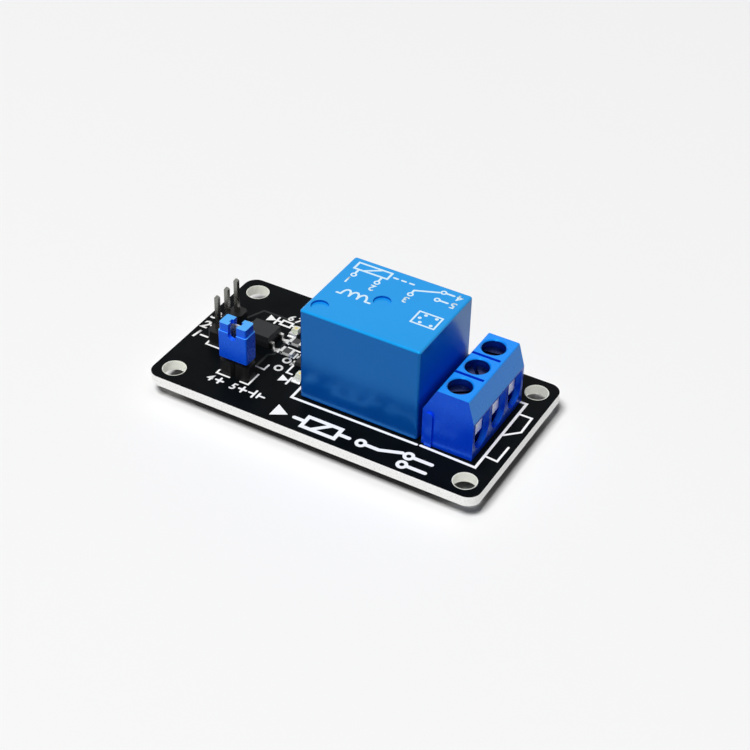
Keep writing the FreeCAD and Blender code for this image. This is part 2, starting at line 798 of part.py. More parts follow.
def make_optocoupler_leads():
    level = board_top + package_standoff + opto_height / 2 + lead_thickness / 2
    leads = []
    for side in (-1, 1):
        for row in (-1, 1):
            leads.append(make_gull_lead(opto_x, opto_y + row * pin_pitch / 2, side, opto_length / 2,
                                        opto_lead_span / 2, opto_lead_width, level))
    return Part.Compound(leads)


transistor_x = relay_left - transistor_from_relay


def make_transistor_body():
    return make_package(transistor_x, transistor_y, transistor_width, transistor_length, transistor_height)


def make_transistor_leads():
    level = board_top + package_standoff + transistor_height / 2 + lead_thickness / 2
    places = [(-1, -1), (-1, 1), (1, 0)]
    leads = []
    for side, row in places:
        leads.append(make_gull_lead(transistor_x, transistor_y + row * transistor_lead_pitch, side,
                                    transistor_width / 2, transistor_lead_span / 2, transistor_lead_width, level))
    return Part.Compound(leads)


diode_x = relay_left - diode_from_relay


def make_diode_body():
    return make_package(diode_x, diode_y, diode_width, diode_length, diode_height)


def make_diode_leads():
    # A flat tab at each end that leaves at mid-height, drops and turns in under the body.
    t = lead_thickness
    level = board_top + package_standoff + diode_height / 2 + t / 2
    leads = []
    for side in (-1, 1):
        body_end = diode_length / 2
        span_end = diode_lead_span / 2
        turned_in = body_end - diode_length / 4
        foot = board_top + package_standoff
        arm = [(body_end, level), (span_end, level), (span_end, board_top), (turned_in, board_top),
               (turned_in, foot), (span_end - t, foot), (span_end - t, level - t), (body_end, level - t)]
        corners = [Vec(diode_x - diode_lead_width / 2, diode_y + side * v, z) for v, z in arm]
        face = Part.Face(Part.makePolygon(corners + corners[:1]))
        leads.append(face.extrude(Vec(diode_lead_width, 0, 0)))
    return Part.Compound(leads)


# Chip parts: centre and the direction that each lies in
resistor_x = opto_lead_end + resistor_gap + chip_length / 2
resistor_places = [(resistor_x, row, "x") for row in resistor_rows]
resistor_places.append((relay_left - pull_resistor_from_relay, pull_resistor_y, "y"))
led_places = [(relay_left - power_led_from_relay, power_led_y, "y"),
              (relay_left - relay_led_from_relay, relay_led_y, "y")]


def chip_box(x, y, along, length, width, z0, z1):
    if along == "x":
        return box_at(x, y, length, width, z0, z1)
    return box_at(x, y, width, length, z0, z1)


def chip_ends(x, y, along, height):
    # The metal that wraps both ends of a chip, round a ceramic block of the given height.
    t = chip_cap_thickness
    ends = []
    wrap = chip_box(x, y, along, chip_length + 2 * t, chip_width + 2 * t, board_top, board_top + height + 2 * t)
    core = chip_box(x, y, along, chip_length, chip_width, board_top + t, board_top + height + t)
    middle = chip_box(x, y, along, chip_length - 2 * chip_cap_length, 2 * chip_width, board_top,
                      board_top + height + 2 * t)
    for solid in wrap.cut(core).cut(middle).Solids:
        ends.append(solid)
    return ends


def make_resistor_chips():
    t = chip_cap_thickness
    return Part.Compound([chip_box(x, y, along, chip_length, chip_width, board_top + t, board_top + chip_height + t)
                          for x, y, along in resistor_places])


def make_resistor_ends():
    ends = []
    for x, y, along in resistor_places:
        ends += chip_ends(x, y, along, chip_height)
    return Part.Compound(ends)


def make_led_bases():
    t = chip_cap_thickness
    return Part.Compound([chip_box(x, y, along, chip_length, chip_width, board_top + t,
                                   board_top + led_base_height + t) for x, y, along in led_places])


def make_led_ends():
    ends = []
    for x, y, along in led_places:
        ends += chip_ends(x, y, along, led_base_height)
    return Part.Compound(ends)


def make_led_lenses():
    low = board_top + led_base_height + chip_cap_thickness
    lenses = []
    for x, y, along in led_places:
        room = min(led_lens_length, chip_length - 2 * chip_cap_length - press_gap)
        length, width = (room, chip_width) if along == "x" else (chip_width, room)
        lenses.append(loft_block(x, y, length, width, low, low + led_lens_height, 0, package_draft))
    return Part.Compound(lenses)


signal_places = header_places()
shunt_places = jumper_places()
parts = {
    "circuit_board": make_circuit_board(),
    "solder_joints": make_solder_joints(),
    "header_base": make_header_base(signal_places, "y"),
    "header_pins": make_header_pins(signal_places),
    "jumper_header_base": make_header_base(shunt_places, "x"),
    "jumper_header_pins": make_header_pins(shunt_places),
    "jumper_cap": make_jumper_cap(),
    "jumper_clip": make_jumper_clip(),
    "relay_cover": make_relay_cover(),
    "relay_base": make_relay_base(),
    "relay_yoke": make_relay_yoke(),
    "coil_bobbin": make_coil_bobbin(),
    "coil_winding": make_coil_winding(),
    "coil_core": make_coil_core(),
    "coil_pins": make_coil_pins(),
    "armature": make_armature(),
    "contact_spring": make_contact_spring(),
    "moving_contact": make_moving_contact(),
    "normally_open_terminal": make_load_terminal(-1, lower_contact_face, False),
    "normally_closed_terminal": make_load_terminal(1, upper_contact_face, True),
    "common_terminal": make_common_terminal(),
    "terminal_housing": make_terminal_housing(),
    "optocoupler_body": make_optocoupler_body(),
    "optocoupler_leads": make_optocoupler_leads(),
    "transistor_body": make_transistor_body(),
    "transistor_leads": make_transistor_leads(),
    "diode_body": make_diode_body(),
    "diode_leads": make_diode_leads(),
    "resistor_chips": make_resistor_chips(),
    "resistor_ends": make_resistor_ends(),
    "led_bases": make_led_bases(),
    "led_ends": make_led_ends(),
    "led_lenses": make_led_lenses(),
}
for number, row in enumerate(pole_rows, 1):
    parts[f"contact_frame_{number}"] = make_contact_frame(row)
    parts[f"clamp_plate_{number}"] = make_clamp_plate(row)
    parts[f"clamp_screw_{number}"] = make_clamp_screw(row)

os.makedirs("parts", exist_ok=True)
for name, shape in parts.items():
    shape.exportStep(f"parts/{name}.step")
    print(name, "solids", len(shape.Solids), "valid", shape.isValid(), "volume", round(shape.Volume, 3))
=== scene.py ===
import math

import bmesh
import bpy
from mathutils import Matrix, Vector


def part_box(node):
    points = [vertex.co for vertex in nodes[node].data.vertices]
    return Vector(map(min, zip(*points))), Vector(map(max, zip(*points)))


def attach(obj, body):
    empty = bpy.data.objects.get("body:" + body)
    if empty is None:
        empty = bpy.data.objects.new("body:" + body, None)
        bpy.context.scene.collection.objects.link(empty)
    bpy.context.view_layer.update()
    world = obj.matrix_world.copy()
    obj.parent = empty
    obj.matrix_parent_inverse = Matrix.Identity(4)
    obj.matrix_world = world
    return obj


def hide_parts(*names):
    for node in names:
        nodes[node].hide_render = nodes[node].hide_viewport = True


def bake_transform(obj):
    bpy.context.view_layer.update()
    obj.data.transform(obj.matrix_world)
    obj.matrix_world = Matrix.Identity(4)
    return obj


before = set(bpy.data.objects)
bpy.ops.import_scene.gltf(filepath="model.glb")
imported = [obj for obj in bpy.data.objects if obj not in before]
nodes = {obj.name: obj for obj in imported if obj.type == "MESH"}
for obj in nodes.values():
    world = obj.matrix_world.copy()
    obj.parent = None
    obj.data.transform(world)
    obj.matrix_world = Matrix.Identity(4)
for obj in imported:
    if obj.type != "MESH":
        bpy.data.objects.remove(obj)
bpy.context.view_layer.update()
mm = 0.001

# Levels and places in millimetres, worked out from the frame
board_low, board_high = [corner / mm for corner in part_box("circuit_board")]
relay_low, relay_high = [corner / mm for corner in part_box("relay_cover")]
yoke_low, yoke_high = [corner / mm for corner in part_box("relay_yoke")]
terminal_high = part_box("terminal_housing")[1] / mm
cap_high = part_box("jumper_cap")[1] / mm
underside = board_low.z
deck = board_high.z
relay_top = relay_high.z
relay_y = (relay_low.y + relay_high.y) / 2
bevel_foot = terminal_high.z - 4.0
cap_step = cap_high.z - 1.5
dip_level = deck + 0.4

# Screw holes
hole_inset = 3.0
hole_radius = 1.7
hole_x = board_high.x - hole_inset
hole_y = board_high.y - hole_inset

# Pins of the two headers, of the relay and of the screw terminal
pin_pitch = 2.54
header_x = board_low.x + 5.0
header_rows = [pin_pitch * step for step in (-1, 0, 1)]
supply_x = board_low.x + 11.65
supply_y = board_low.y + 6.8
supply_pins = (supply_x - pin_pitch / 2, supply_x + pin_pitch / 2)
load_pin_x = relay_high.x - 2.45
common_pin_x = relay_low.x + 2.45
coil_pin_x = relay_low.x + 4.45
relay_pin_rows = (relay_low.y + 1.7, relay_high.y - 1.7)
pole_pitch = 5.08
middle_pole_y = 0.55
screw_x = terminal_high.x - 3.7
screw_rows = [middle_pole_y + pole_pitch * step for step in (-1, 0, 1)]

# Middles of the surface-mounted parts
opto_x, opto_y = header_x + 5.2, 1.4
transistor_x, transistor_y = relay_low.x - 3.7, -0.6
diode_x, diode_y = relay_low.x - 3.2, 4.4
power_led = (relay_low.x - 8.6, 5.4)
relay_led = (relay_low.x - 2.3, -3.6)
pull_resistor = (relay_low.x - 6.5, 6.4)
row_resistors = [(opto_x + 5.1, y) for y in (3.0, 0.35)]


# Node materials
def hue(red, green, blue):
    """The linear colour of an sRGB colour given from 0 to 255."""
    def linear(value):
        value = value / 255
        return value / 12.92 if value <= 0.04045 else ((value + 0.055) / 1.055) ** 2.4
    return (linear(red), linear(green), linear(blue), 1.0)


def shaded(color, factor):
    """A colour made darker or lighter, and opaque."""
    return tuple(min(1.0, channel * factor) for channel in color[:3]) + (1.0,)


class Paint:
    """A node material with one Principled shader and the patterns that feed it."""

    def __init__(self, name, **values):
        self.material = bpy.data.materials.new(name)
        self.material.use_nodes = True
        self.tree = self.material.node_tree
        self.tree.nodes.clear()
        self.shader = self.tree.nodes.new("ShaderNodeBsdfPrincipled")
        output = self.tree.nodes.new("ShaderNodeOutputMaterial")
        self.tree.links.new(self.shader.outputs["BSDF"], output.inputs["Surface"])
        place = self.tree.nodes.new("ShaderNodeTexCoord")
        self.place = place.outputs["Object"]
        self.facing = place.outputs["Normal"]
        self.share = place.outputs["Generated"]
        for key, value in values.items():
            self.set(key.replace("_", " ").title().replace("Ior", "IOR"), value)

    def set(self, socket, value):
        self.join(value, self.shader.inputs[socket])

    def join(self, value, socket):
        if isinstance(value, bpy.types.NodeSocket):
            self.tree.links.new(value, socket)
        else:
            socket.default_value = value

    def add(self, kind, inputs, output=0, **settings):
        node = self.tree.nodes.new("ShaderNode" + kind)
        for key, value in settings.items():
            setattr(node, key, value)
        for key, value in inputs.items():
            self.join(value, node.inputs[key])
        return node.outputs[output]

    def math(self, operation, a, b=0.0):
        return self.add("Math", {0: a, 1: b}, operation=operation)

    def mix(self, factor, a, b):
        return self.add("Mix", {0: factor, 6: a, 7: b}, output=2, data_type="RGBA")

    def spread(self, factor, low, high, out_low=0.0, out_high=1.0):
        return self.add("MapRange", {0: factor, 1: low, 2: high, 3: out_low, 4: out_high})

    def even(self, noise, out_low=0.0, out_high=1.0):
        """Stretches the middle of a noise, where most of it lies, over a range."""
        return self.spread(noise, 0.3, 0.7, out_low, out_high)

    def keen(self, noise):
        """As even, with harder borders between light and dark."""
        return self.spread(noise, 0.35, 0.65)

    def blend(self, a, share_a, b, share_b):
        """Adds two patterns, each with its share."""
        return self.math("ADD", self.math("MULTIPLY", a, share_a), self.math("MULTIPLY", b, share_b))

    def distance(self, across, along):
        squares = self.math("ADD", self.math("MULTIPLY", across, across), self.math("MULTIPLY", along, along))
        return self.math("SQRT", squares)

    def wave(self, place, pitch):
        """A sine wave along a place, whose pitch is in millimetres."""
        return self.math("SINE", self.math("MULTIPLY", place, 2 * math.pi / (pitch * mm)))

    def stretched(self, sizes):
        """Object coordinates divided by a size in millimetres along each axis."""
        scale = [1 / (size * mm) for size in sizes]
        return self.add("VectorMath", {0: self.place, 1: scale}, operation="MULTIPLY")

    def noise(self, size, detail=2.0, rough=0.5):
        sizes = size if isinstance(size, tuple) else (size, size, size)
        return self.add("TexNoise", {"Vector": self.stretched(sizes), "Scale": 1.0,
                                     "Detail": detail, "Roughness": rough})

    def parts(self, vector):
        node = self.tree.nodes.new("ShaderNodeSeparateXYZ")
        self.join(vector, node.inputs[0])
        return node.outputs

    def relief(self, height, depth):
        """Bump from a height between 0 and 1, worth a depth in millimetres."""
        self.set("Normal", self.add("Bump", {"Height": height, "Distance": depth * mm, "Strength": 1.0}))


def moulded(name, color, roughness, grain=0.12, depth=0.004, flow=0.10, painted_top_light=None, above=0.0, **gloss):
    """Moulded plastic with slight flow shading, fine grain and uneven polish. Faces above a level that look
    up take a lighter colour as painted top light, where one is given."""
    paint = Paint(name, **gloss)
    cloud = paint.noise((6.0, 6.0, 3.5), 3.0, 0.55)
    speck = paint.noise(grain * 2.2, 2.0, 0.6)
    tone = paint.even(paint.blend(cloud, 0.75, speck, 0.25))
    body = paint.mix(tone, shaded(color, 1 - flow), shaded(color, 1 + flow * 0.6))
    # Painted top light: faces above the level that look up are painted in a lighter colour, as if lit from
    # above.
    if painted_top_light:
        pale = paint.mix(tone, shaded(painted_top_light, 1 - flow), shaded(painted_top_light, 1.0))
        open_top = paint.math("GREATER_THAN", paint.parts(paint.place)[2], above * mm)
        looks_up = paint.spread(paint.parts(paint.facing)[2], 0.03, 0.25)
        body = paint.mix(paint.math("MULTIPLY", open_top, looks_up), body, pale)
    paint.set("Base Color", body)
    paint.set("Roughness", paint.even(paint.noise(1.4, 3.0), roughness * 0.9, roughness * 1.1))
    paint.relief(paint.noise(grain, 3.0, 0.6), depth)
    return paint


def metal(name, color, roughness, streak=(0.04, 0.04, 1.2), stain=0.18, dipped=None):
    """Drawn or rolled metal with streaks and faint stains, tinned below a level where it is dipped."""
    paint = Paint(name, metallic=1.0)
    lines = paint.noise(streak, 3.0, 0.6)
    cloud = paint.noise(0.9, 3.0, 0.6)
    tone = paint.keen(paint.blend(lines, 0.5, cloud, 0.5))
    body = paint.mix(tone, shaded(color, 1 - stain), shaded(color, 1.0))
    if dipped is not None:
        below = paint.math("LESS_THAN", paint.parts(paint.place)[2], dipped * mm)
        body = paint.mix(below, body, (0.80, 0.80, 0.78, 1))
    paint.set("Base Color", body)
    paint.set("Roughness", paint.even(lines, roughness * 0.75, roughness * 1.3))
    paint.relief(lines, 0.001)
    return paint.material


def turned(name, color, roughness):
    """Turned and plated metal with fine rings round the middle of its node."""
    radians_across = 190.0
    paint = Paint(name, metallic=1.0)
    centred = paint.add("VectorMath", {0: paint.share, 1: (0.5, 0.5, 0.0)}, operation="SUBTRACT")
    flat = paint.add("VectorMath", {0: centred, 1: (1.0, 1.0, 0.0)}, operation="MULTIPLY")
    radius = paint.add("VectorMath", {0: flat}, output="Value", operation="LENGTH")
    rings = paint.math("SINE", paint.math("MULTIPLY", radius, radians_across))
    cloud = paint.noise(0.6, 3.0)
    paint.set("Base Color", paint.mix(paint.keen(cloud), shaded(color, 0.8), shaded(color, 1.0)))
    paint.set("Roughness", paint.even(cloud, roughness * 0.8, roughness * 1.25))
    paint.relief(paint.math("ADD", paint.math("MULTIPLY", rings, 0.3), cloud), 0.004)
    return paint.material


def soldered(name):
    """Bright tin solder with a faintly frosted, wrinkled skin."""
    paint = Paint(name, metallic=1.0)
    cloud = paint.noise(0.35, 4.0, 0.6)
    paint.set("Base Color", paint.mix(cloud, (0.62, 0.63, 0.64, 1), (0.86, 0.87, 0.87, 1)))
    paint.set("Roughness", paint.even(cloud, 0.16, 0.38))
    paint.relief(paint.noise(0.18, 3.0, 0.6), 0.006)
    return paint.material


def mask_color(paint, speck):
    """Black solder mask, a little cloudy and specked."""
    mask = paint.mix(paint.even(paint.noise(4.0, 3.0)),
                     (0.0020, 0.0028, 0.0035, 1), (0.0040, 0.0052, 0.0062, 1))
    return paint.mix(paint.spread(speck, 0.55, 0.8, 0.0, 0.25), mask, (0.014, 0.016, 0.017, 1))


def cut_colors(paint, height, layers, chips):
    """A sawn edge with layers of glass in pale resin, a greyer core and small chips, and a drilled wall."""
    core_height = 0.46
    fibre = paint.noise((0.5, 0.5, 0.05), 4.0, 0.65)
    from_core = paint.math("ABSOLUTE", paint.math("SUBTRACT", height, core_height))
    core = paint.spread(from_core, 0.06, 0.16, 1.0, 0.0)
    core = paint.math("MULTIPLY", core, paint.spread(fibre, 0.45, 0.65, 0.0, 0.7))
    edge = paint.mix(paint.spread(layers, -1, 1, 0.0, 0.5), hue(255, 255, 252), hue(246, 247, 238))
    edge = paint.mix(core, edge, hue(224, 228, 218))
    edge = paint.mix(paint.spread(chips, 0.52, 0.68, 0.0, 0.75), edge, hue(134, 142, 126))
    wall = paint.mix(fibre, hue(222, 226, 196), hue(246, 248, 232))
    return edge, wall


def board_paint():
    """Black solder mask on the two faces and bare laminate on every cut edge."""
    cloth_pitch, layer_count = 0.55, 8
    mask_gap, wall_gap = 0.10, 0.05
    paint = Paint("board_laminate")
    x, y, z = paint.parts(paint.place)
    on_face = paint.math("GREATER_THAN", paint.math("ABSOLUTE", paint.parts(paint.facing)[2]), 0.5)
    # The mask stops a hair short of each screw hole.
    reach = paint.distance(paint.math("SUBTRACT", paint.math("ABSOLUTE", x), hole_x * mm),
                           paint.math("SUBTRACT", paint.math("ABSOLUTE", y), hole_y * mm))
    bare = paint.math("LESS_THAN", reach, (hole_radius + mask_gap) * mm)
    in_hole = paint.math("LESS_THAN", reach, (hole_radius + wall_gap) * mm)
    speck = paint.noise(0.10, 2.0, 0.7)
    chips = paint.noise(0.26, 3.0, 0.75)
    height = paint.math("DIVIDE", paint.math("SUBTRACT", z, underside * mm), (deck - underside) * mm)
    layers = paint.math("SINE", paint.math("MULTIPLY", height, 2 * math.pi * layer_count))
    edge, wall = cut_colors(paint, height, layers, chips)
    cut = paint.mix(in_hole, edge, wall)
    face = paint.mix(bare, mask_color(paint, speck), hue(244, 246, 234))
    paint.set("Base Color", paint.mix(on_face, cut, face))
    glossy = paint.math("SUBTRACT", on_face, paint.math("MULTIPLY", on_face, bare))
    paint.set("Roughness", paint.spread(glossy, 0.0, 1.0, 0.75, 0.34))
    paint.set("IOR", paint.spread(on_face, 0.0, 1.0, 11.0, 1.5))
    paint.set("Specular IOR Level", paint.spread(on_face, 0.0, 1.0, 0.5, 0.02))
    # The glass cloth under the mask shows as a faint weave.
    weave = paint.math("MULTIPLY", paint.wave(x, cloth_pitch), paint.wave(y, cloth_pitch))
    skin = paint.blend(weave, 0.25, speck, 0.8)
    ragged = paint.blend(layers, 0.15, chips, 6.0)
    paint.relief(paint.add("Mix", {0: on_face, 2: ragged, 3: skin}, data_type="FLOAT"), 0.01)
    return paint.material


def masked_copper():
    """Copper tracks under the black mask, a little lighter than the mask on laminate."""
    paint = Paint("masked_copper", roughness=0.3, specular_ior_level=0.15)
    cloud = paint.noise(1.5, 3.0)
    paint.set("Base Color", paint.mix(cloud, (0.007, 0.009, 0.010, 1), (0.013, 0.016, 0.016, 1)))
    paint.relief(paint.noise(0.1, 2.0, 0.7), 0.006)
    return paint.material


def printed(name, color, shade):
    """Screen-printed ink: slightly uneven cover and a dry, grainy skin."""
    paint = Paint(name, roughness=0.55)
    cover = paint.noise(0.12, 3.0, 0.7)
    paint.set("Base Color", paint.mix(paint.spread(cover, 0.55, 0.8, 0.0, 0.6), color, shade))
    paint.relief(cover, 0.004)
    return paint.material


def chip_paint():
    """A chip resistor: white alumina with a black glass coat on its top."""
    paint = Paint("chip_resistor")
    up = paint.math("GREATER_THAN", paint.parts(paint.facing)[2], 0.5)
    speck = paint.noise(0.08, 3.0, 0.7)
    coat = paint.mix(speck, (0.010, 0.010, 0.012, 1), (0.03, 0.03, 0.034, 1))
    alumina = paint.mix(speck, (0.62, 0.62, 0.60, 1), (0.82, 0.82, 0.80, 1))
    paint.set("Base Color", paint.mix(up, alumina, coat))
    paint.set("Roughness", paint.spread(up, 0.0, 1.0, 0.7, 0.25))
    paint.relief(speck, 0.004)
    return paint.material


def lens_paint():
    """Clear resin over each light-emitting die, seen as a warm spot in a milky block."""
    die_radius, halo_radius = 0.12, 0.34
    paint = Paint("led_resin", roughness=0.16, coat_weight=0.5, coat_roughness=0.08)
    x, y, z = paint.parts(paint.place)
    spot = 0.0
    for led_x, led_y in (power_led, relay_led):
        gap = paint.distance(paint.math("SUBTRACT", x, led_x * mm), paint.math("SUBTRACT", y, led_y * mm))
        spot = paint.math("ADD", paint.spread(gap, die_radius * mm, halo_radius * mm, 1.0, 0.0), spot)
    cloud = paint.noise(0.3, 3.0)
    resin = paint.mix(cloud, (0.58, 0.62, 0.50, 1), (0.78, 0.80, 0.66, 1))
    paint.set("Base Color", paint.mix(spot, resin, (0.85, 0.62, 0.12, 1)))
    paint.relief(cloud, 0.003)
    return paint.material


def wound_wire():
    """Enamelled copper wire wound in close turns, with painted shade in the grooves between them."""
    wire_pitch = 0.16
    paint = Paint("enamelled_wire", metallic=0.7, roughness=0.28, coat_weight=0.6, coat_roughness=0.1)
    turns = paint.math("ABSOLUTE", paint.wave(paint.parts(paint.place)[2], 2 * wire_pitch))
    cloud = paint.noise(0.8, 3.0)
    copper = paint.mix(cloud, (0.45, 0.13, 0.04, 1), (0.72, 0.28, 0.10, 1))
    # Painted shade: the grooves between turns take a dark copper colour.
    paint.set("Base Color", paint.mix(turns, (0.12, 0.03, 0.012, 1), copper))
    paint.relief(turns, 0.04)
    return paint.material


def paint_shade_in_wells(paint):
    """Painted shade: a deeper colour inside the screw wells, below their rims."""
    well_radius, rim_height, fade_end = 1.82, 0.3, 0.05
    x, y, z = paint.parts(paint.place)
    across = paint.math("SUBTRACT", x, screw_x * mm)
    # One pole is repeated along Y.
    row = paint.math("SUBTRACT", y, (middle_pole_y - pole_pitch / 2) * mm)
    row = paint.math("FLOORED_MODULO", row, pole_pitch * mm)
    along = paint.math("SUBTRACT", row, pole_pitch / 2 * mm)
    in_well = paint.math("LESS_THAN", paint.distance(across, along), well_radius * mm)
    below = paint.spread(z, (terminal_high.z - rim_height) * mm, (terminal_high.z - fade_end) * mm, 1.0, 0.0)
    blue = paint.shader.inputs["Base Color"].links[0].from_socket
    paint.set("Base Color", paint.mix(paint.math("MULTIPLY", in_well, below), blue, (0.001, 0.010, 0.17, 1)))


# Plastics. The relay's top, the terminal's top and bevels, and the cap's roof and step are painted lighter as
# painted top light.
relay_blue = moulded("relay_blue", (0.001, 0.092, 0.46), 0.24, depth=0.0015, flow=0.04,
                     painted_top_light=(0.008, 0.320, 0.83), ior=2.2, specular_tint=(0.03, 0.5, 1.0, 1)).material
terminal = moulded("terminal_blue", (0.001, 0.060, 0.84), 0.26, depth=0.0015, flow=0.05,
                   painted_top_light=(0.008, 0.290, 1.0), above=bevel_foot, ior=2.2,
                   specular_tint=(0.03, 0.35, 1.0, 1))
# Painted shade in the terminal's screw wells.
paint_shade_in_wells(terminal)
cap_blue = moulded("cap_blue", (0.002, 0.095, 1.0), 0.28, depth=0.0015, flow=0.06,
                   painted_top_light=(0.10, 0.46, 1.0), above=cap_step, ior=2.2,
                   specular_tint=(0.05, 0.4, 1.0, 1)).material
header_black = moulded("header_black", (0.008, 0.008, 0.009), 0.42, grain=0.08, flow=0.2,
                       specular_ior_level=0.2).material
package_black = moulded("package_black", (0.012, 0.013, 0.014), 0.5, grain=0.06, depth=0.006, flow=0.2,
                        specular_ior_level=0.3).material
base_black = moulded("base_black", (0.016, 0.016, 0.018), 0.5, flow=0.2, specular_ior_level=0.3).material
nylon = moulded("natural_nylon", (0.66, 0.66, 0.62), 0.4, flow=0.06).material
led_white = moulded("led_carrier", (0.84, 0.85, 0.82), 0.4, grain=0.07, flow=0.06).material

# Metals
pin_metal = metal("tinned_pin", (0.27, 0.27, 0.25), 0.20)
lead_tin = metal("tinned_lead", (0.82, 0.82, 0.80), 0.28, streak=(0.5, 0.05, 0.5))
nickel = metal("nickel_strip", (0.90, 0.90, 0.88), 0.30, streak=(0.6, 0.05, 0.6), stain=0.08)
plate_nickel = metal("satin_nickel", (0.98, 0.98, 0.96), 0.5, streak=(0.6, 0.05, 0.6), stain=0.04)
iron = metal("plated_iron", (0.56, 0.57, 0.58), 0.34, streak=(0.8, 0.06, 0.8))
strip_copper = (0.80, 0.46, 0.26)
spring_copper = metal("spring_copper", strip_copper, 0.28, streak=(0.8, 0.05, 0.8))
terminal_copper = metal("tinned_copper_strip", strip_copper, 0.28, streak=(0.8, 0.05, 0.8), dipped=dip_level)
contact_silver = turned("contact_silver", (0.86, 0.86, 0.84), 0.25)
# The screw heads are painted dark navy: painted shade of their deep wells and a painted reflection of the
# wells' blue walls.
screw_steel = turned("screw_steel", (0.050, 0.060, 0.17), 0.24)
core_iron = turned("core_iron", (0.56, 0.57, 0.58), 0.34)
solder = soldered("solder")

# Inks
white_ink = printed("white_ink", (0.95, 0.95, 0.94, 1), (0.80, 0.82, 0.82, 1))
relay_ink = printed("relay_ink", (0.70, 0.88, 0.98, 1), (0.42, 0.70, 0.95, 1))

finishes = {
    "circuit_board": board_paint(),
    "solder_joints": solder,
    "header_base": header_black,
    "header_pins": pin_metal,
    "jumper_header_base": header_black,
    "jumper_header_pins": pin_metal,
    "jumper_cap": cap_blue,
    "jumper_clip": nickel,
    "relay_cover": relay_blue,
    "relay_base": base_black,
    "relay_yoke": iron,
    "coil_bobbin": nylon,
    "coil_winding": wound_wire(),
    "coil_core": core_iron,
    "coil_pins": lead_tin,
    "armature": iron,
    "contact_spring": spring_copper,
    "moving_contact": contact_silver,
    "normally_open_terminal": terminal_copper,
    "normally_closed_terminal": terminal_copper,
    "common_terminal": terminal_copper,
    "terminal_housing": terminal.material,
    "optocoupler_body": package_black,
    "optocoupler_leads": lead_tin,
    "transistor_body": package_black,
    "transistor_leads": lead_tin,
    "diode_body": package_black,
    "diode_leads": lead_tin,
    "resistor_chips": chip_paint(),
    "resistor_ends": solder,
    "led_bases": led_white,
    "led_ends": solder,
    "led_lenses": lens_paint(),
}
for number in (1, 2, 3):
    finishes[f"contact_frame_{number}"] = nickel
    finishes[f"clamp_plate_{number}"] = plate_nickel
    finishes[f"clamp_screw_{number}"] = screw_steel
for name, material in finishes.items():
    for slot in nodes[name].material_slots:
        slot.material = material


# Mesh helpers, all in millimetres
def prism(mesh, outline, low, high):
    """A flat shape with upright sides, closed below and above."""
    base = [mesh.verts.new((x * mm, y * mm, low * mm)) for x, y in outline]
    top = [mesh.verts.new((x * mm, y * mm, high * mm)) for x, y in outline]
    mesh.faces.new(top)
    mesh.faces.new(base[::-1])
    for i in range(len(outline)):
        k = (i + 1) % len(outline)
        mesh.faces.new((base[i], base[k], top[k], top[i]))


def circle(x, y, radius, sides=32):
    turns = (2 * math.pi * i / sides for i in range(sides))
    return [(x + radius * math.cos(a), y + radius * math.sin(a)) for a in turns]


def round_end(point, other, half):
    """The inner points of the half circle that ends a line."""
    steps = 8
    start = math.atan2(point.y - other.y, point.x - other.x) - math.pi / 2
    turns = (start + math.pi * k / steps for k in range(1, steps))
    return [(point.x + half * math.cos(a), point.y + half * math.sin(a)) for a in turns]


def stroke(mesh, points, width, low, high, closed=False):
    """A line of constant width with mitred corners, and round ends where it is open."""
    sharpest_mitre = 0.35
    points = [Vector(point) for point in points]
    count = len(points)
    half = width / 2
    left, right = [], []
    for i, point in enumerate(points):
        before = points[i - 1] if closed or i > 0 else None
        after = points[(i + 1) % count] if closed or i < count - 1 else None
        into = (point - before).normalized() if before is not None else (after - point).normalized()
        out = (after - point).normalized() if after is not None else into
        across = Vector((-into.y - out.y, into.x + out.x)).normalized()
        reach = half / max(sharpest_mitre, across.dot(Vector((-into.y, into.x))))
        left.append(point + across * reach)
        right.append(point - across * reach)
    if closed:
        for i in range(count):
            k = (i + 1) % count
            prism(mesh, [right[i], right[k], left[k], left[i]], low, high)
        return
    far_end = round_end(points[-1], points[-2], half)
    near_end = round_end(points[0], points[1], half)
    prism(mesh, right + far_end + left[::-1] + near_end, low, high)


def numeral(mesh, text, x, y, size, low, high, turn, slant):
    """A plain number whose lower left corner stands at a place, turned by some degrees."""
    font_size_of_height = 1.4
    boldness = 0.035
    curve = bpy.data.curves.new("numeral", "FONT")
    curve.body = text
    curve.size = size * font_size_of_height * mm
    curve.shear = slant
    curve.offset = size * boldness * mm
    curve.resolution_u = 3
    holder = bpy.data.objects.new("numeral", curve)
    flat = bpy.data.meshes.new_from_object(holder)
    foot = Matrix.Translation((x * mm, y * mm, low * mm))
    flat.transform(foot @ Matrix.Rotation(math.radians(turn), 4, "Z"))
    first = len(mesh.faces)
    mesh.from_mesh(flat)
    mesh.faces.ensure_lookup_table()
    raised = bmesh.ops.extrude_face_region(mesh, geom=mesh.faces[first:])
    lifted = [part for part in raised["geom"] if isinstance(part, bmesh.types.BMVert)]
    bmesh.ops.translate(mesh, verts=lifted, vec=(0, 0, (high - low) * mm))
    bpy.data.objects.remove(holder)
    bpy.data.curves.remove(curve)
    bpy.data.meshes.remove(flat)


def solid(name, mesh, material):
    """Turns a mesh into an object of the scene."""
    data = bpy.data.meshes.new(name)
    mesh.to_mesh(data)
    mesh.free()
    data.materials.append(material)
    thing = bpy.data.objects.new(name, data)
    bpy.context.scene.collection.objects.link(thing)
    return thing


def piece(name, mesh, material, body, smooth=None):
    """Turns a mesh into an object that rides on a body, smooth up to an angle in degrees."""
    bmesh.ops.recalc_face_normals(mesh, faces=mesh.faces)
    thing = solid(name, mesh, material)
    if smooth is not None:
        thing.data.polygons.foreach_set("use_smooth", [True] * len(thing.data.polygons))
        thing.data.set_sharp_from_angle(angle=math.radians(smooth))
    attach(thing, body)
    return thing


